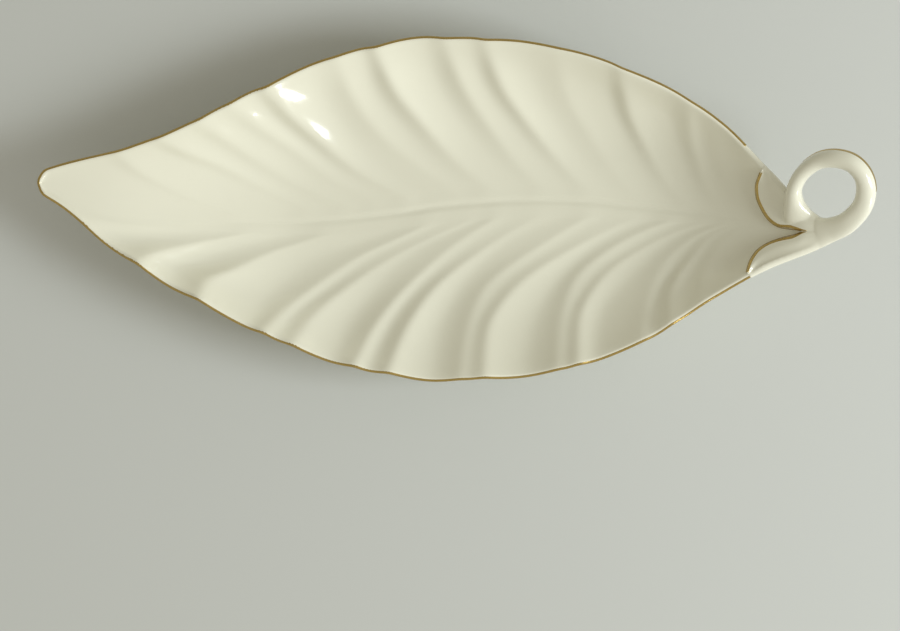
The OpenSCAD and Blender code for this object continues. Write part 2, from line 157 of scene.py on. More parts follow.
def addNode(material, kind, settings, *values, output=0, **named):
    node = material.node_tree.nodes.new(kind)
    for key, value in settings.items():
        setattr(node, key, value)
    for key, value in enumerate(values):
        feed(material, node.inputs[key], value)
    for key, value in named.items():
        feed(material, node.inputs[key.replace("_", " ")], value)
    return Wire(material, node.outputs[output])


def plug(material, shader, **sockets):
    for key, value in sockets.items():
        feed(material, shader.inputs[key.replace("_", " ")], value)


def mixColours(material, share, first, second):
    return addNode(material, "ShaderNodeMix", {"data_type": "RGBA"}, share, None, None, None, None, None,
                   first, second, output=2)


def noise(material, place, scale, detail, roughness):
    return addNode(material, "ShaderNodeTexNoise", {}, Vector=place, Scale=scale, Detail=detail,
                   Roughness=roughness)


def newMaterial(name):
    material = bpy.data.materials.new(name)
    material.use_nodes = True
    return material, material.node_tree.nodes["Principled BSDF"]


# the porcelain's ivory glaze, a little cloudy, and wiped off the foot's edge that stands on the table
glaze = {
    "ivory": (0.82, 0.80, 0.668, 1),
    "clouded": (0.80, 0.78, 0.648, 1),
    "bareClay": (0.78, 0.76, 0.70, 1),
    "bareHeight": 0.35 * mm,
    "bareFade": 6000.0,
    "roughness": 0.13,
    "cloudRoughness": 0.05,
    "bareRoughness": 0.5,
    "coat": 0.5,
    "coatRoughness": 0.03,
    "bump": 0.06,
    "bumpDepth": 0.6 * mm,
    "cloudScale": 22.0,
    "poreScale": 900.0,
    "poreShare": 0.03,
    "waveScale": 60.0,
}


def ivoryGlaze():
    material, shader = newMaterial("ivoryGlaze")
    place = addNode(material, "ShaderNodeTexCoord", {}, output="Object")
    height = addNode(material, "ShaderNodeSeparateXYZ", {}, place, output="Z")
    cloud = noise(material, place, glaze["cloudScale"], 3.0, 0.5)
    pores = noise(material, place, glaze["poreScale"], 2.0, 0.6)
    waves = noise(material, place, glaze["waveScale"], 2.0, 0.4)
    bare = ((glaze["bareHeight"] - height) * glaze["bareFade"]).limit()
    body = mixColours(material, cloud, glaze["ivory"], glaze["clouded"])
    colour = mixColours(material, bare, body, glaze["bareClay"])
    gloss = glaze["roughness"] + cloud * glaze["cloudRoughness"] + bare * glaze["bareRoughness"]
    bump = addNode(material, "ShaderNodeBump", {}, Strength=glaze["bump"], Distance=glaze["bumpDepth"],
                   Height=waves + pores * glaze["poreShare"])
    plug(material, shader, Base_Color=colour, Roughness=gloss, Normal=bump, IOR=1.5,
         Coat_Weight=glaze["coat"], Coat_Roughness=glaze["coatRoughness"])
    return material


# the fired gold, brushed on and burnished; both of its tones are painted darker than the gold itself, as
# painted dark reflection of the shaded surroundings, and the brush mixes them at random
goldFinish = {
    "dark": (0.44, 0.31, 0.10, 1),
    "light": (0.60, 0.44, 0.16, 1),
    "roughness": 0.14,
    "brushRoughness": 0.16,
    "bump": 0.05,
    "bumpDepth": 0.2 * mm,
    "brushScale": 260.0,
}


def burnishedGold():
    material, shader = newMaterial("burnishedGold")
    place = addNode(material, "ShaderNodeTexCoord", {}, output="Object")
    brush = noise(material, place, goldFinish["brushScale"], 3.0, 0.6)
    # the brush's random tone runs between two golds that both carry painted dark reflection
    tone = mixColours(material, brush, goldFinish["dark"], goldFinish["light"])
    bump = addNode(material, "ShaderNodeBump", {}, Strength=goldFinish["bump"],
                   Distance=goldFinish["bumpDepth"], Height=brush)
    plug(material, shader, Base_Color=tone, Metallic=1.0, Normal=bump,
         Roughness=goldFinish["roughness"] + brush * goldFinish["brushRoughness"])
    return material


porcelain = ivoryGlaze()
gilding = burnishedGold()
print("glaze and gold are ready")

leaf = {
    "length": 231.2 * mm,
    "width": 103.4 * mm,
    "rimHeight": 24 * mm,
    "edgeWall": 1.8 * mm,
    "edgeInset": 0.7,  # share of the edge's wall that lies between the rim's line and the outline
    "floorWall": 2.6 * mm,
    "tipRound": 2.6 * mm,
    "bowlPower": 2.1,
    "fluteHeight": 3.0 * mm,
    "upperFlutes": 1.25,  # shares of the flutes' height on each side of the midrib
    "lowerFlutes": 1.05,
    "fluteFade": 0.6,
    "upperRimCalm": (0.55, 0.8),  # how much lower the flutes are at the rim, towards the tip and the stem
    "lowerRimCalm": 0.15,
    "crestSteepness": 1.7,
    "crestRounding": 1.2 * mm,
    "crestDent": 0.8 * mm,
    "midribDepth": 0.4 * mm,
    "midribRadius": 1.1 * mm,
    "veinBend": 0.25,
    "veinEnd": 0.83,
    "lastVein": 9.7,
    "rows": 320,
    "rings": 56,
    "lipSteps": 9,
}
foot = {
    "length": 110 * mm,
    "width": 31 * mm,
    "height": 2.2 * mm,
    "wall": 3 * mm,
    "bevel": 0.7 * mm,
    "fillet": 0.9 * mm,
    "sunk": 0.3 * mm,
    "turn": math.radians(1.6),
    "alongShare": 0.543,
    "acrossShare": 0.018,
    "seat": (1.05, 1.45),  # in shares of the foot's oval, where the underside stops being flat and is free
    "steps": 160,
}
stem = {
    "width": 9.9 * mm,
    "thickness": 3.8 * mm,
    "sunk": 0.11,
    "roundness": 2.6,
    "root": (0.19, 0.12, 0.004),  # how far it runs back and down inside the lobes, and how much it bends
    "rootThin": 0.4,
}
loop = {
    "across": 21.1 * mm,
    "reach": 0.645,
    "strapWidth": 6.6 * mm,
    "strapThickness": 5.4 * mm,
    "roundness": 2.2,
}

halfWidth = leaf["width"] / 2
floorTop = foot["height"] + leaf["floorWall"]
tipX = -(leaf["length"] + loop["across"] * loop["reach"] + loop["strapThickness"] / 2) / 2
jointX = tipX + leaf["length"]
firstX = tipX + leaf["edgeWall"] / 2
footX = tipX + leaf["length"] * foot["alongShare"]
footY = halfWidth * foot["acrossShare"]

# place along the leaf from its tip to the joint, then the place across as a share of half its width
upperEdge = smoothLine([[0, 0.212], [0.02, 0.247], [0.045, 0.28], [0.109, 0.352], [0.173, 0.456],
                        [0.276, 0.685], [0.403, 0.915], [0.499, 0.994], [0.576, 0.988], [0.665, 0.934],
                        [0.786, 0.749], [0.875, 0.513], [0.933, 0.246], [0.985, 0], [1, -0.041]])
lowerEdge = smoothLine([[0, 0.095], [0.018, 0.05], [0.033, 0.006], [0.084, -0.199], [0.167, -0.445],
                        [0.269, -0.685], [0.378, -0.886], [0.448, -0.961], [0.512, -0.994],
                        [0.572, -0.99], [0.678, -0.928], [0.773, -0.78], [0.875, -0.497],
                        [0.939, -0.335], [1, -0.234]])
midribLine = smoothLine([[0, 0.157], [0.05, 0.04], [0.1, -0.031], [0.148, -0.064], [0.218, -0.079],
                         [0.371, -0.064], [0.42, -0.038], [0.467, -0.014], [0.52, 0.026],
                         [0.563, 0.042], [0.62, 0.057], [0.658, 0.058], [0.7, 0.053], [0.754, 0.03],
                         [0.82, -0.005], [0.875, -0.035], [0.985, -0.126], [1, -0.137]], blur=0.02)

# place along the leaf, then the midrib's climb from the floor to the rim, and the rim's own height
climbLine = smoothLine([[0, 1.1], [0.088, 0.84], [0.176, 0.49], [0.256, 0.22], [0.336, 0.04],
                        [0.42, 0], [0.67, 0], [0.76, 0.03], [0.824, 0.13], [0.874, 0.337],
                        [0.924, 0.648], [0.972, 1], [1, 1.19]], blur=0.02)
lowerRim = smoothLine([[0, 1.1], [0.087, 1], [0.2, 1.02], [0.32, 0.97], [0.45, 0.935], [0.55, 0.935],
                       [0.655, 0.96], [0.754, 0.965], [0.844, 0.95], [0.922, 1.01], [1, 1.15]], blur=0.02)
upperRim = smoothLine([[0, 1.1], [0.087, 1.05], [0.2, 1.04], [0.32, 1], [0.45, 0.97], [0.55, 0.985],
                       [0.655, 1.03], [0.754, 1.05], [0.844, 1.01], [0.922, 1.01], [1, 1.15]], blur=0.02)

# place along the leaf, then how strong the midrib's groove and the flutes are there
midribFade = smoothLine([[0, 0], [0.22, 0.1], [0.38, 0.6], [0.5, 1], [0.75, 1], [0.88, 0.35],
                         [0.93, 0], [1, 0]], blur=0.01)
fluteStrength = smoothLine([[0, 0], [0.04, 0.35], [0.1, 1.1], [0.2, 1.28], [0.33, 1.2], [0.5, 1.08],
                            [0.6, 1.05], [0.72, 1.05], [0.8, 1], [0.86, 0.8], [0.93, 0.2],
                            [1, 0]], blur=0.02)

# veins that the rows of the mesh follow: where each meets the lower edge, the upper edge and the midrib
veins = [[0, 0, 0, 0], [1, 0.123, 0.095, 0.27], [2, 0.201, 0.17, 0.433], [3, 0.324, 0.306, 0.582],
         [4, 0.447, 0.435, 0.688], [5, 0.57, 0.572, 0.773], [6, 0.692, 0.746, 0.85],
         [7, 0.811, 0.836, 0.903], [8, 0.873, 0.885, 0.937], [9, 0.93, 0.935, 0.967], [10, 1, 1, 1]]
veinOnLower = smoothLine(veins, 1, 0.02)
veinOnUpper = smoothLine(veins, 2, 0.02)
veinOnMidrib = smoothLine(veins, 3, 0.02)
veinCount = veins[-1][0]

# the flutes' crests and valleys, from the tip to the stem: the height of each at the edge and near the
# midrib, then its place along a view from above, in that picture's own scale, at each of the crossings
crossings = [1, 0.75, 0.5, 0.25, 0.1]  # shares of the way out from the midrib to the edge
pictureMiddle, pictureScale = 455, 0.2962 * mm
lowerFlutes = [
    [0.45, 0.5, 60, 66, 72, 90, 120], [0.55, 0.55, 85, 90, 98, 120, 155],
    [0.05, 0.34, 107, 117, 127, 152, 194], [1.1, 0.72, 139, 148, 164, 197, 242],
    [0, 0.3, 169, 173, 197, 233, 284], [1.1, 0.76, 199, 205, 232, 271, 321],
    [0, 0.2, 247, 260, 281, 320, 390], [0.75, 0.68, 265, 285, 315, 361, 424],
    [0.34, 0.36, 275, 292, 325, 377, 444], [0.85, 0.5, 293, 310, 342, 399, 470],
    [0.03, 0.34, 331, 345, 372, 413, 480], [0.8, 0.74, 355, 373, 402, 450, 494],
    [0.32, 0.36, 368, 384, 412, 469, 514], [1, 0.52, 388, 404, 431, 490, 538],
    [0, 0.32, 432, 438, 459, 505, 560], [0.64, 0.78, 461, 467, 484, 548, 590],
    [0.56, 0.4, 465, 473, 498, 566, 606], [1, 0.56, 484, 487, 517, 590, 635],
    [0.02, 0.34, 526, 532, 555, 605, 652], [0.64, 0.8, 558, 562, 575, 628, 672],
    [0.55, 0.4, 564, 568, 591, 651, 690], [0.92, 0.54, 578, 580, 604, 665, 708],
    [0.3, 0.36, 599, 604, 637, 680, 718], [0.6, 0.7, 642, 650, 664, 700, 730],
    [0.36, 0.4, 657, 659, 682, 707, 735], [0.85, 0.6, 669, 671, 693, 716, 743],
    [0.5, 0.42, 690, 692, 705, 724, 750], [0.74, 0.62, 702, 705, 716, 732, 757],
    [0.5, 0.5, 724, 728, 742, 756, 774],
]
upperFlutes = [
    [0.45, 0.5, 60, 66, 80, 100, 130], [0.4, 0.45, 104, 117, 139, 174, 214],
    [0.6, 0.55, 117, 131, 154, 189, 229], [0.34, 0.4, 147, 172, 208, 250, 288],
    [0.62, 0.56, 160, 186, 222, 264, 302], [0.36, 0.42, 186, 210, 240, 282, 322],
    [0.64, 0.56, 200, 223, 254, 297, 341], [0.4, 0.44, 218, 244, 280, 320, 359],
    [0.64, 0.54, 231, 258, 294, 333, 372], [0.3, 0.4, 253, 276, 308, 349, 388],
    [1, 0.66, 266, 289, 322, 364, 404], [0.1, 0.3, 310, 326, 352, 390, 421],
    [0.52, 0.48, 336, 352, 378, 421, 454], [0.25, 0.34, 361, 374, 402, 437, 465],
    [1, 0.66, 375, 393, 424, 459, 488], [0.06, 0.3, 425, 438, 464, 495, 522],
    [0.6, 0.55, 444, 461, 487, 517, 540], [0.3, 0.34, 470, 484, 512, 545, 566],
    [0.9, 0.62, 485, 500, 530, 563, 585], [0.22, 0.36, 530, 540, 564, 594, 616],
    [0.4, 0.44, 558, 566, 590, 616, 636], [0.12, 0.3, 607, 614, 630, 648, 664],
    [0.62, 0.52, 620, 628, 647, 669, 687], [0.25, 0.36, 669, 675, 687, 700, 712],
    [0.64, 0.55, 690, 692, 700, 712, 724], [0.46, 0.46, 702, 705, 713, 725, 736],
    [0.6, 0.52, 716, 719, 727, 739, 749], [0.5, 0.5, 742, 746, 752, 760, 770],
]


def fluteSheet(lines):
    # relief over a sheet of places along the leaf (columns) and shares of the way out to the edge (rows)
    columns = np.linspace(-130 * mm, 115 * mm, 981)
    shares = np.linspace(0, 1, 101)
    innermost, levelSpan = crossings[-1], 0.6
    sheet = np.empty((len(shares), len(columns)))
    places = [smoothLine([[1 - q, x] for q, x in zip(crossings, line[2:])], 1, 0.05) for line in lines]
    for row, q in enumerate(shares):
        at = np.array([(place(1 - max(q, innermost)) - pictureMiddle) * pictureScale for place in places])
        outward = ease((q - innermost) / levelSpan)
        levels = np.array([mix(nearMidrib, atEdge, outward) for atEdge, nearMidrib, *_ in lines])
        rising = np.diff(levels) > 0
        i = np.clip(np.searchsorted(at, columns) - 1, 0, len(at) - 2)
        u = np.clip((columns - at[i]) / (at[i + 1] - at[i]), 0, 1)
        u = np.where(rising[i], 1 - u, u)  # counted from the crest
        crest, valley = np.maximum(levels[i], levels[i + 1]), np.minimum(levels[i], levels[i + 1])
        sheet[row] = valley + (crest - valley) * (1 - u) ** leaf["crestSteepness"]
    step = columns[1] - columns[0]
    reach = int(4 * leaf["crestRounding"] / step)
    weights = np.exp(-0.5 * (np.arange(-reach, reach + 1) * step / leaf["crestRounding"]) ** 2)
    padded = np.pad(sheet, ((0, 0), (reach, reach)), "edge")
    sheet = np.stack([np.convolve(line, weights / weights.sum(), "valid") for line in padded])

    def reliefAt(x, q):
        column = np.clip((x - columns[0]) / step, 0, len(columns) - 1.001)
        row = np.clip(q * (len(shares) - 1), 0, len(shares) - 1.001)
        i, j = row.astype(int), column.astype(int)
        a, b = row - i, column - j
        return ((1 - a) * (1 - b) * sheet[i, j] + (1 - a) * b * sheet[i, j + 1]
                + a * (1 - b) * sheet[i + 1, j] + a * b * sheet[i + 1, j + 1])
    return reliefAt


lowerRelief, upperRelief = fluteSheet(lowerFlutes), fluteSheet(upperFlutes)
print("flutes are drawn")


# in all that follows, upper is True on the leaf's side towards +Y, q is the share of the way out from the
# midrib to the edge, n counts the veins from the tip, and t goes from the edge (0) to the midrib (1)
def along(x):
    return (x - tipX) / leaf["length"]


def midribY(x):
    return halfWidth * midribLine(along(x))


def outlineY(x, upper):
    return halfWidth * (upperEdge if upper else lowerEdge)(along(x))


def edgeY(x, upper):
    # the rim's line lies a little inside the outline, and both sides meet in a round tip
    rise = (outlineY(x + probe, upper) - outlineY(x - probe, upper)) / (2 * probe)
    inset = leaf["edgeWall"] * leaf["edgeInset"] * np.sqrt(1 + rise**2)
    u = (x - firstX) / leaf["tipRound"]
    opening = np.where(u >= 1, 1, np.sqrt(np.clip(1 - (1 - u) ** 2, 0, 1)))
    middle = midribY(x)
    return middle + (outlineY(x, upper) + (-inset if upper else inset) - middle) * opening


def midribZ(x):
    return floorTop + (leaf["rimHeight"] - floorTop) * climbLine(along(x))


def rimZ(x, upper):
    return leaf["rimHeight"] * (upperRim if upper else lowerRim)(along(x))


def formZ(x, y):
    # the bowl's form without its flutes
    x, y = np.asarray(x, float), np.asarray(y, float)
    middle = midribY(x)
    upper = y > middle
    edge = np.where(upper, edgeY(x, True), edgeY(x, False))
    rim = np.where(upper, rimZ(x, True), rimZ(x, False))
    pastEdge = 1.3  # the form runs on a little way past the edge
    q = np.minimum(np.abs(y - middle) / np.maximum(np.abs(edge - middle), probe), pastEdge)
    return midribZ(x) + (rim - midribZ(x)) * q ** leaf["bowlPower"]


def formNormal(x, y):
    steepest, levelEnd = 1.2, 0.05
    level = ease((1 - along(x)) / levelEnd)  # near the joint the direction stops leaning lengthways
    inX = np.maximum(x, tipX + leaf["tipRound"])
    slopeX = (formZ(inX + probe, y) - formZ(inX - probe, y)) / (2 * probe)
    slopeY = (formZ(inX, y + probe) - formZ(inX, y - probe)) / (2 * probe)
    slopes = [-np.clip(slopeX, -steepest, steepest) * level, -np.clip(slopeY, -steepest, steepest),
              np.ones_like(level)]
    return unit(np.stack(slopes, -1))


def dishPoint(n, t, upper):
    # the point on vein n at t, and how deep the midrib's groove is there
    edge, inner = (np.where(n < 1, vein(1.0) * n**2, vein(n))
                   for vein in (veinOnUpper if upper else veinOnLower, veinOnMidrib))
    s = np.minimum(t / leaf["veinEnd"], 1)
    x = firstX + (jointX - firstX) * (edge + (inner - edge) * (2 * leaf["veinBend"] * s * (1 - s) + s * s))
    q = (1 - t) ** 2
    middle = midribY(x)
    crest = (upperRelief if upper else lowerRelief)(x, q)
    strength = fluteStrength(along(x))
    dent = leaf["crestDent"] * crest * (1 - t) ** 3 * strength * (-1 if upper else 1)
    y = middle + (edgeY(x, upper) - middle) * q + dent
    towardStem = ease((along(x) - 0.4) / 0.25)
    calm = mix(*leaf["upperRimCalm"], towardStem) if upper else leaf["lowerRimCalm"]
    atRim = ease((q - 0.8) / 0.2)
    side = leaf["upperFlutes"] if upper else leaf["lowerFlutes"]
    flute = (leaf["fluteHeight"] * side * strength * (crest - 0.5) * q ** leaf["fluteFade"]
             * (1 - calm * atRim))
    groove = np.exp(-(((y - middle) / leaf["midribRadius"]) ** 2))
    ridge = -leaf["midribDepth"] * midribFade(along(x)) * groove
    z = midribZ(x) + (rimZ(x, upper) - midribZ(x)) * q ** leaf["bowlPower"] + flute
    return np.stack([x, y, z], -1), ridge


def footRadius(x, y):
    # 1 on the foot's outer oval
    c, s = math.cos(foot["turn"]), math.sin(foot["turn"])
    u = (x - footX) * c + (y - footY) * s
    v = (y - footY) * c - (x - footX) * s
    return np.hypot(u / (foot["length"] / 2), v / (foot["width"] / 2))


def underPoint(place, t):
    # the outer face lies a wall's thickness under the inner face, and flat on the foot
    wall = mix(leaf["edgeWall"], leaf["floorWall"], np.minimum(2 * t, 1))
    at = place - wall[..., None] * formNormal(place[..., 0], place[..., 1])
    flatWithin, freePast = foot["seat"]
    free = ease((footRadius(at[..., 0], at[..., 1]) - flatWithin) / (freePast - flatWithin))
    at[..., 2] = mix(foot["height"], at[..., 2], free)
    return at


def edgeOut(n, upper):
    # the level direction that points out of the leaf at its edge
    before = dishPoint(np.clip(n - ahead, 0, veinCount), np.zeros_like(n), upper)[0]
    after = dishPoint(np.clip(n + ahead, 0, veinCount), np.zeros_like(n), upper)[0]
    run = unit((after - before)[..., :2])
    side = np.stack([-run[..., 1], run[..., 0], np.zeros_like(n)], -1) * (1 if upper else -1)
    side[n <= 0] = [-1, 0, 0]
    side[n >= veinCount] = [0, 1 if upper else -1, 0]
    return side


def lipPoint(inner, outer, out, turn):
    # a point on the rounded edge between the dish's inner and outer face, turned outward from the inner face
    up = unit(inner - outer)
    side = unit(out - np.sum(out * up, -1, keepdims=True) * up)
    radius = np.linalg.norm(inner - outer, axis=-1, keepdims=True) / 2
    turn = np.asarray(turn, float)[..., None]
    return (inner + outer) / 2 + radius * (up * np.cos(turn) + side * np.sin(turn))


def dishRows(numbers, rings, sunk=0.0, cover=None):
    # loops of points across the dish, over its top, round its lower lip, back under it and up its upper lip
    gather = 1.1  # the rings lie a little closer together towards the midrib
    shares = 1 - (1 - np.arange(rings + 1) / rings) ** gather
    turns = [math.pi * k / leaf["lipSteps"] for k in range(1, leaf["lipSteps"])]
    n, t = np.meshgrid(numbers, shares, indexing="ij")
    sides = []
    for upper in (True, False):
        place, ridge = dishPoint(n, t, upper)
        normal = formNormal(place[..., 0], place[..., 1])
        top = place + np.stack([0 * ridge, 0 * ridge, ridge], -1) - normal * sunk
        under = underPoint(place, t)
        if cover is not None:
            under = under - normal * cover(place[..., 0])[..., None]
        out = edgeOut(numbers, upper)
        lip = np.stack([lipPoint(top[:, 0], under[:, 0], out, turn) for turn in turns], 1)
        sides.append((top, under, lip))
    (top, under, lip), (lowTop, lowUnder, lowLip) = sides
    return np.concatenate([top, lowTop[:, -2::-1], lowLip, lowUnder, under[:, -2::-1], lip[:, ::-1]], 1)


dishBm = gridMesh(dishRows(np.linspace(0, leaf["lastVein"], leaf["rows"] + 1), leaf["rings"]))
dish = finishPiece(dishBm, "fluted_leaf", porcelain, ["leaf_dish"])
dishSurface = surfaceOf(dish)


def footRows():
    # the foot's band: down its outer side, round its bevels, up its inner side and back under the dish
    fillet, bevel, height, wall = foot["fillet"], foot["bevel"], foot["height"], foot["wall"]
    flare = np.linspace(0.2, math.pi / 2, 5)
    quarter = np.linspace(0, math.pi / 2, 6)
    profile = [(-fillet, height + foot["sunk"])]
    profile += [(-fillet * (1 - math.sin(a)), height - fillet * (1 - math.cos(a))) for a in flare]
    profile += [(bevel * (1 - math.cos(a)), bevel * (1 - math.sin(a))) for a in quarter]
    profile += [(wall - across, up) for across, up in reversed(profile)]
    c, s = math.cos(foot["turn"]), math.sin(foot["turn"])
    turns = np.linspace(0, 2 * math.pi, foot["steps"], endpoint=False)
    rows = []
    for inset, up in profile:
        onLength = (foot["length"] / 2 - inset) * np.cos(turns)
        onWidth = (foot["width"] / 2 - inset) * np.sin(turns)
        rows.append(np.stack([footX + onLength * c - onWidth * s, footY + onLength * s + onWidth * c,
                              np.full_like(turns, up)], -1))
    return np.array(rows + rows[:1])


finishPiece(gridMesh(footRows(), caps=False), "foot_band", porcelain, ["foot_ring"])

# the strap that leaves the leaf as its stem and curls into the loop: each row is a place as shares of the
# loop's width from the joint, how far the section still lies flat like the stem's, and the shares of its
# width and thickness; the last rows sink into the upper lobe
strapRows = [[0, 0, 0, 1, 1, 1], [0.19, 0.04, 0.11, 0.85, 0.79, 0.88], [0.39, 0.135, 0.25, 0.6, 0.82, 0.78],
             [0.57, 0.34, 0.41, 0.25, 0.94, 0.78], [0.625, 0.57, 0.515, 0, 1.12, 0.86],
             [0.575, 0.785, 0.572, 0, 1.06, 0.97], [0.425, 0.95, 0.572, 0, 1.03, 1.02],
             [0.2, 1.02, 0.5, 0, 1.02, 1], [-0.02, 0.99, 0.38, 0, 0.95, 0.93],
             [-0.22, 0.84, 0.24, 0, 0.86, 0.84], [-0.33, 0.64, 0.12, 0, 0.84, 0.82],
             [-0.335, 0.45, 0.015, 0, 1.05, 0.86], [-0.29, 0.28, -0.06, 0, 1.6, 0.72],
             [-0.22, 0.13, -0.14, 0, 2.1, 0.5]]
rootPlace = [-0.19, 0, -0.13]  # the strap's curve sets off from this place inside the lobes
loopAxis = unit(np.array([-0.33, -0.36, 0.87]))  # the direction that the loop faces
upright = np.array([0, 0, 1.0])
lastRow = len(strapRows) - 1
strapPlaces = [rootPlace] + [row[:3] for row in strapRows]
strapPlaces.append([2 * a - b for a, b in zip(strapPlaces[-1], strapPlaces[-2])])
stemBase = np.array([jointX, float(midribY(jointX)),
                     float(midribZ(jointX)) - stem["thickness"] * stem["sunk"]])
flatLine, widthLine, thickLine = (smoothLine([[i, row[column]] for i, row in enumerate(strapRows)], 1, 0.02)
                                  for column in (3, 4, 5))


def curveThrough(places, u):
    i = min(int(u), len(places) - 4)
    v = u - i
    a, b, c, d = (np.array(places[i + k], float) for k in range(4))
    return (2 * b + (c - a) * v + (2 * a - 5 * b + 4 * c - d) * v**2 + (3 * b - a - 3 * c + d) * v**3) / 2


def strapAt(u):
    # the strap's middle at row u, where the rows below 0 are its root inside the lobes
    if u >= 0:
        return stemBase + loop["across"] * curveThrough(strapPlaces, u)
    back, down, bend = stem["root"]
    return stemBase + loop["across"] * np.array([back * u, 0, down * u + bend * u**2])


def strapFrame(u):
    # the directions out of the strap's side and out of its top
    run = np.array([1.0, 0, 0])
    if u > 0:
        run = unit(strapAt(min(u + ahead, lastRow)) - strapAt(max(u - ahead, 0)))
    out = unit(np.cross(run, unit(mix(loopAxis, upright, float(flatLine(u))))))
    return out, np.cross(out, run)


def strapPoint(u, turn):
    out, up = strapFrame(u)
    flat = float(flatLine(u))
    thinner = 1 + stem["rootThin"] * min(u, 0)  # the root thins out inside the lobes
    width = mix(loop["strapThickness"], stem["width"], flat) / 2 * float(widthLine(u))
    height = mix(loop["strapWidth"], stem["thickness"], flat) / 2 * float(thickLine(u)) * thinner
    power = 2 / mix(loop["roundness"], stem["roundness"], flat)
    c, s = math.cos(turn), math.sin(turn)
    across = out * width * math.copysign(abs(c) ** power, c)
    return strapAt(u) + across + up * height * math.copysign(abs(s) ** power, s)


def stemTop(y):
    share = np.minimum(np.abs(y - stemBase[1]) / (stem["width"] / 2), 1)
    power = stem["roundness"]
    return stemBase[2] + stem["thickness"] / 2 * (1 - share**power) ** (1 / power)


lobe = {
    "reach": 21 * mm,
    "edge": 2.3 * mm,
    "freeEdge": 0.75,  # share of the edge's thickness at the very edge
    "climb": 0.25,  # share of the reach over which the lobe climbs onto the stem
    "climbEnd": 0.2,  # how steeply it still climbs where it meets the stem
    "stemShare": 0.8,
    "overStem": 0.12 * mm,
    "rimBlend": (0.88, 0.55),  # how far it thins out towards the rim, so that it rises there without a step
    "rimBlendRows": 2.2,
    "rimBlendFrom": 0.3,
    "sunk": 0.6 * mm,
    "lipSunk": 0.5 * mm,
}

# each row of a lobe: how far back its free edge lies, as a share of the reach, the place of that edge
# across, as a share of half the leaf's width, and how far back the row meets the leaf's rim
upperLobe = [[0.795, 0.217, 0.785], [0.852, 0.132, 0.714], [0.838, 0.074, 0.643], [0.767, 0, 0.548],
             [0.667, -0.062, 0.452], [0.529, -0.103, 0.357], [0.386, -0.114, 0.238],
             [0.162, -0.128, 0.095], [0, -0.137, 0]]
lowerLobe = [[1, -0.371, 0.976], [0.948, -0.308, 0.88], [0.838, -0.24, 0.76], [0.695, -0.199, 0.643],
             [0.529, -0.172, 0.5], [0.314, -0.149, 0.295], [0.162, -0.133, 0.152], [0, -0.137, 0]]
lobeLines = {
    upper: [smoothLine([[i, row[k]] for i, row in enumerate(rows)], 1, 0.01) for k in range(3)]
    for upper, rows in ((True, upperLobe), (False, lowerLobe))
}
lobeLast = {True: len(upperLobe) - 1, False: len(lowerLobe) - 1}


def lobePlan(u, v, upper):
    # the place in plan on row u, at v from the free edge (0) to the leaf's rim (1)
    back, across, onEdge = (float(line(u)) for line in lobeLines[upper])
    free = np.array([jointX - lobe["reach"] * back, halfWidth * across])
    edgeX = jointX - lobe["reach"] * onEdge
    return mix(free, np.array([edgeX, float(edgeY(edgeX, upper))]), v)


def lobeHeight(u, v, upper):
    at = lobePlan(u, v, upper)
    side = 1 if upper else -1
    meet = mix(stemBase[1], stemBase[1] + side * stem["width"] / 2 * lobe["stemShare"], v)
    climb = min(max(1 - (jointX - at[0]) / (lobe["reach"] * lobe["climb"]), 0), 1)
    rise = mix(ease(climb), climb**2, lobe["climbEnd"])
    start = lobe["rimBlendFrom"]
    atRim = ease((v - start) / (1 - start)) * mix(*lobe["rimBlend"], ease(u / lobe["rimBlendRows"]))
    thin = lobe["edge"] * (lobe["freeEdge"] if v == 0 else 1 - atRim)
    return mix(thin, float(stemTop(meet)) - float(midribZ(jointX)) + lobe["overStem"], rise)


def lobePoint(u, v, upper, height):
    at = lobePlan(u, v, upper)
    return np.array([at[0], at[1], float(formZ(at[0], at[1])) + height])


def lobeTop(u, v, upper):
    return lobePoint(u, v, upper, lobeHeight(u, v, upper))


def lobeSection(u, upper):
    # over the lobe from its free edge, round the leaf's rim, and back inside the rim and the leaf
    shares = [0, 0.06, 0.14, 0.25, 0.4, 0.55, 0.7, 0.85, 0.95, 1]
    top = [lobeTop(u, v, upper) for v in shares]
    under = [lobePoint(u, v, upper, -lobe["sunk"]) for v in shares]
    x, y = lobePlan(u, 1, upper)
    inner = np.array([[x, y, float(rimZ(x, upper))]])
    outer = underPoint(inner, np.zeros(1))
    rise = float(edgeY(x + probe, upper) - edgeY(x - probe, upper)) / (2 * probe)
    side = np.array([-rise, 1, 0]) if upper else np.array([rise, -1, 0])
    if u >= lobeLast[upper]:
        side[0] = 0
    turns = [math.radians(a) for a in (20, 45, 70, 95, 120, 145, 165)]
    cover = lobeHeight(u, 1, upper)
    over, inside = [], []
    for turn in turns:
        bulge = lipPoint(inner, outer, unit(side)[None], turn)
        away = unit(bulge - (inner + outer) / 2)
        proud = max(cover * (1 - turn / turns[-1]), -probe)
        over.append((bulge + away * proud)[0])
        inside.append((bulge - away * lobe["lipSunk"])[0])
    return np.array(top + over + inside[::-1] + under[::-1])


# the handle: stem, loop, lobes and the leaf's own base are united and smoothed into one form
handle = {
    "voxel": 0.3 * mm,
    "firstVein": 8.2,
    "rows": 40,
    "rings": 16,
    "sunk": 0.4 * mm,
    "cover": 0.12 * mm,
    "coverStart": 20 * mm,
    "coverSpan": 14 * mm,
    "strapAround": 40,
    "strapAlong": 160,
    "lobeAlong": 60,
    "easeAll": (3, 0.6),  # turns and strength of the smoothing, all over and where the parts join
    "easeJoins": (24, 2.5),
    "easeRoot": (0.2, 11 * mm),  # the row of the strap that easeJoins works round, and how far it reaches
    "easeTail": (11.8, 9.5 * mm),
    "easeLobe": 5 * mm,
    "easeGrowth": 1.3,
}


def baseCover(x):
    # the handle's own base stays inside the leaf at first and then comes out to cover it
    start = jointX - handle["coverStart"]
    return mix(-handle["sunk"], handle["cover"], ease((x - start) / handle["coverSpan"]))


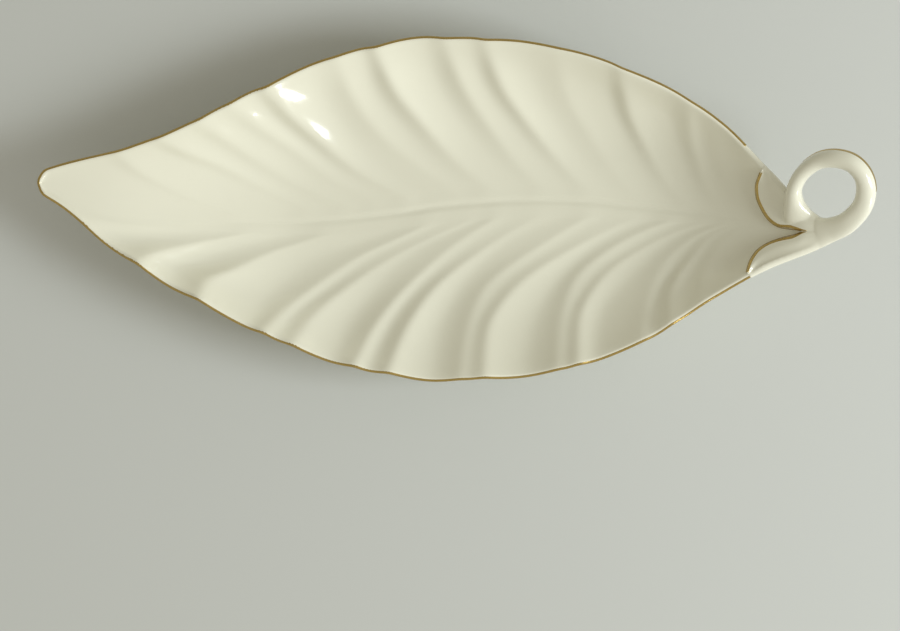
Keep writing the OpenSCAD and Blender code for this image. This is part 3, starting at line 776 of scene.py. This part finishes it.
def strapRings():
    turns = np.linspace(0, 2 * math.pi, handle["strapAround"], endpoint=False)
    rows = np.linspace(-1, lastRow, handle["strapAlong"])
    return np.array([[strapPoint(u, turn) for turn in turns] for u in rows])


def lobeRings(upper):
    return np.array([lobeSection(u, upper) for u in np.linspace(0, lobeLast[upper], handle["lobeAlong"])])


def joinParts(parts):
    joined = bmesh.new()
    for part in parts:
        scratch = bpy.data.meshes.new("scratch")
        part.to_mesh(scratch)
        part.free()
        joined.from_mesh(scratch)
        bpy.data.meshes.remove(scratch)
    return joined


def workedBy(addModifiers, bm):
    # the shape that modifiers make of a bmesh
    mesh = bpy.data.meshes.new("scratch")
    bm.to_mesh(mesh)
    bm.free()
    rough = bpy.data.objects.new("scratch", mesh)
    bpy.context.scene.collection.objects.link(rough)
    addModifiers(rough)
    worked = bmesh.new()
    worked.from_object(rough, bpy.context.evaluated_depsgraph_get())
    bpy.data.objects.remove(rough)
    bpy.data.meshes.remove(mesh)
    return worked


def unite(rough):
    remesh = rough.modifiers.new("unite", "REMESH")
    remesh.mode, remesh.voxel_size, remesh.adaptivity = "VOXEL", handle["voxel"], 0


def easeOver(rough):
    # every join is eased a little, and the stem's root, the loop's tail and the lobes' ends are worked smooth
    worked = [(strapAt(row), reach) for row, reach in (handle["easeRoot"], handle["easeTail"])]
    lobeEnds = [lobeTop(lobeLast[True], 1, True), lobeTop(0, 1, True), lobeTop(0, 1, False)]
    worked += [(end, handle["easeLobe"]) for end in lobeEnds]
    places = np.array([v.co for v in rough.data.vertices])
    nearness = [1 - np.linalg.norm(places - centre, axis=1) / reach for centre, reach in worked]
    weights = np.max([ease(handle["easeGrowth"] * near) for near in nearness], 0)
    joins = rough.vertex_groups.new(name="joins")
    for i in np.nonzero(weights > 0.01)[0]:
        joins.add([int(i)], float(weights[i]), "REPLACE")
    for name, group in (("easeAll", ""), ("easeJoins", "joins")):
        soft = rough.modifiers.new(name, "LAPLACIANSMOOTH")
        soft.iterations, soft.lambda_factor = handle[name]
        soft.vertex_group = group


baseNumbers = np.linspace(handle["firstVein"], veinCount, handle["rows"])
baseRows = dishRows(baseNumbers, handle["rings"], sunk=handle["sunk"], cover=baseCover)
handleParts = [gridMesh(rows) for rows in (strapRings(), lobeRings(True), lobeRings(False), baseRows)]
handleBm = workedBy(unite, joinParts(handleParts))
print("handle united", len(handleBm.faces), "faces")
bmesh.ops.smooth_vert(handleBm, verts=handleBm.verts, factor=0.5, use_axis_x=True, use_axis_y=True,
                      use_axis_z=True)
stemAndLoop = finishPiece(workedBy(easeOver, handleBm), "stem_and_loop", porcelain,
                          ["stem_loop", "upper_lobe", "lower_lobe"])
handleSurface = surfaceOf(stemAndLoop)

gold = {
    "thick": 0.07 * mm,
    "rimSunk": 0.02 * mm,  # how far a line's own rims lie under the glaze
    "sunk": 0.08 * mm,
    "upperEnd": 8.4,  # the veins at which the line on the leaf's rim ends
    "lowerEnd": 8.9,
    "rimTurns": (4, 94),  # degrees from the top of the rim outward
    "rimSteps": (420, 440, 7),  # along the upper side, along the lower side, and across
    "loopRows": (4, 8.67),
    "loopTurns": (-32, 10),
    "loopSteps": (120, 6),
    "lobeIn": (0.62 * mm, 1.3 * mm),  # reach inward from the lobe's edge, along it and in the notch
    "lobeOut": (0.28 * mm, 0.08 * mm),
    "notchRows": 3,
    "notchOverlap": 0.03 * mm,
    "endRows": 0.5,
    "lobeSteps": 130,
}
goldEnd = {upper: last - 1.0 for upper, last in lobeLast.items()}  # the row at which a lobe's line ends


def goldLine(centres, outs, name, node):
    # rows of surface points and their outward directions become a thin closed line, thickest in its middle
    arch = np.sin(np.linspace(0, math.pi, centres.shape[1]))[None, :, None]
    over = centres + outs * (arch * (gold["thick"] + gold["rimSunk"]) - gold["rimSunk"])
    under = centres[:, ::-1] - outs[:, ::-1] * gold["sunk"]
    finishPiece(gridMesh(np.concatenate([over, under], 1)), name, gilding, [node])


def goldLineOn(rows, name, node):
    # the same from rows of pairs of a surface point and its direction
    centres = np.array([[np.array(spot) for spot, normal in row] for row in rows])
    outs = np.array([[np.array(normal) for spot, normal in row] for row in rows])
    goldLine(centres, outs, name, node)


def rimGold(numbers, upper):
    inner = dishPoint(numbers, np.zeros_like(numbers), upper)[0]
    outer = underPoint(inner, np.zeros_like(numbers))
    out = edgeOut(numbers, upper)
    up = unit(inner - outer)
    lean = np.arctan2(-np.sum(up * out, -1), up[:, 2])  # how far the wall leans outward
    turns = np.radians(np.linspace(*gold["rimTurns"], gold["rimSteps"][2]))
    centres = np.stack([lipPoint(inner, outer, out, lean + turn) for turn in turns], 1)
    return centres, unit(centres - ((inner + outer) / 2)[:, None])


fromStem = rimGold(np.linspace(gold["upperEnd"], 0, gold["rimSteps"][0]), True)
toStem = rimGold(np.linspace(0, gold["lowerEnd"], gold["rimSteps"][1])[1:], False)
goldLine(*(np.concatenate(pair) for pair in zip(fromStem, toStem)), "rim_gold_line", "rim_gilding")


def onTop(across):
    # the highest surface under a place in plan, and its direction
    above, down = Vector((across[0], across[1], 60 * mm)), Vector((0, 0, -1))
    hits = [surface.ray_cast(above, down)[:2] for surface in (handleSurface, dishSurface)]
    return max((hit for hit in hits if hit[0] is not None), key=lambda hit: hit[0].z)


def lobeGoldRow(u, upper, facing):
    # across the line on the lobe's edge: wider towards the notch between the lobes, where both lines meet
    at = lobePlan(u, 0, upper)
    halfGap = abs(at[1] - np.interp(-at[0], -facing[:, 0], facing[:, 1])) / 2
    run = lobePlan(min(u + ahead, lobeLast[upper]), 0, upper) - lobePlan(u - ahead, 0, upper)
    inward = unit(np.array([-run[1], run[0]]) * (1 if upper else -1))
    intoNotch, intoEnd = (float(ease((u - goldEnd[upper] + gold[rows]) / gold[rows]))
                          for rows in ("notchRows", "endRows"))
    inner = min(mix(*gold["lobeIn"], intoNotch), halfGap + gold["notchOverlap"])
    outer = mix(*gold["lobeOut"], intoEnd)
    return [onTop(at + inward * mix(-outer, inner, v)) for v in (0, 0.2, 0.35, 0.5, 0.7, 0.85, 1)]


for upper, name, node in ((True, "upper_lobe_gold_line", "upper_lobe_gilding"),
                          (False, "lower_lobe_gold_line", "lower_lobe_gilding")):
    facing = np.array([lobePlan(u, 0, not upper) for u in np.linspace(goldEnd[not upper], 0, 200)])
    steps = np.linspace(0.1, goldEnd[upper], gold["lobeSteps"])
    goldLineOn([lobeGoldRow(u, upper, facing) for u in steps], name, node)


def loopGoldRow(u):
    turns = np.radians(np.linspace(*gold["loopTurns"], gold["loopSteps"][1]))
    return [handleSurface.find_nearest(Vector(strapPoint(u, turn)))[:2] for turn in turns]


loopSpots = np.linspace(*gold["loopRows"], gold["loopSteps"][0])
goldLineOn([loopGoldRow(u) for u in loopSpots], "loop_gold_line", "loop_gilding")

# a sheet of grey paper, a large window from the right and a small one lower down, in a room that is
# lighter on the windows' side
studio = {
    "paper": (0.60, 0.61, 0.585, 1),
    "paperRoughness": 0.9,
    "paperSize": 3,
    "zenith": (0.33, 0.318, 0.267, 1),
    "horizon": (0.46, 0.443, 0.372, 1),
    "windowSide": (0.62, 0.60, 0.525, 1),
    "windowDirection": (0.45, -0.4, 0.0),
    "windowShare": 0.5,  # how much of the windows' side is seen halfway round the room
    "zenithGain": 1.1,
}
largeWindow = {
    "place": (0.887, -0.165, 0.64),
    "size": (0.42, 0.5),
    "power": 8.1,
    "colour": (0.90, 0.965, 1),
}
smallWindow = {
    "place": (0.721, -0.649, 0.245),
    "size": (0.21, 0.14),
    "power": 1.1,
    "colour": (1, 1, 1),
}
overhead = {
    "place": (-0.0015, -0.0317, 1.2),
    "lens": 158.4,
    "sensor": 36,
    "farthest": 20,
}


def paperFloor():
    bm = bmesh.new()
    bmesh.ops.create_grid(bm, x_segments=1, y_segments=1, size=studio["paperSize"])
    mesh = bpy.data.meshes.new("floor")
    bm.to_mesh(mesh)
    bm.free()
    paper, shader = newMaterial("greyPaper")
    plug(paper, shader, Base_Color=studio["paper"], Roughness=studio["paperRoughness"])
    mesh.materials.append(paper)
    sheet = bpy.data.objects.new("floor", mesh)
    bpy.context.scene.collection.objects.link(sheet)
    return sheet


def softbox(name, window):
    lamp = bpy.data.lights.new(name, "AREA")
    lamp.shape = "RECTANGLE"
    lamp.size, lamp.size_y = window["size"]
    lamp.energy, lamp.color = window["power"], window["colour"]
    lampObject = bpy.data.objects.new(name, lamp)
    bpy.context.scene.collection.objects.link(lampObject)
    lampObject.location = window["place"]
    lampObject.rotation_euler = (-Vector(window["place"])).to_track_quat("-Z", "Y").to_euler()


def roomLight():
    room = bpy.data.worlds.new("room")
    bpy.context.scene.world = room
    room.use_nodes = True
    look = addNode(room, "ShaderNodeTexCoord", {}, output="Generated")
    upward = addNode(room, "ShaderNodeSeparateXYZ", {}, look, output="Z")
    toward = addNode(room, "ShaderNodeVectorMath", {"operation": "DOT_PRODUCT"}, look,
                     studio["windowDirection"], output="Value")
    dome = mixColours(room, (upward * studio["zenithGain"]).limit(), studio["horizon"], studio["zenith"])
    glow = mixColours(room, (toward + studio["windowShare"]).limit(), dome, studio["windowSide"])
    feed(room, room.node_tree.nodes["Background"].inputs["Color"], glow)


floor = paperFloor()
softbox("windowLight", largeWindow)
softbox("narrowWindow", smallWindow)
roomLight()
camera = bpy.data.cameras.new("overheadCamera")
camera.lens, camera.sensor_width, camera.clip_end = overhead["lens"], overhead["sensor"], overhead["farthest"]
cameraObject = bpy.data.objects.new("overheadCamera", camera)
bpy.context.scene.collection.objects.link(cameraObject)
cameraObject.location = overhead["place"]
bpy.context.scene.camera = cameraObject
bpy.context.scene.view_settings.view_transform = "Standard"
print("floor, light and camera are ready")
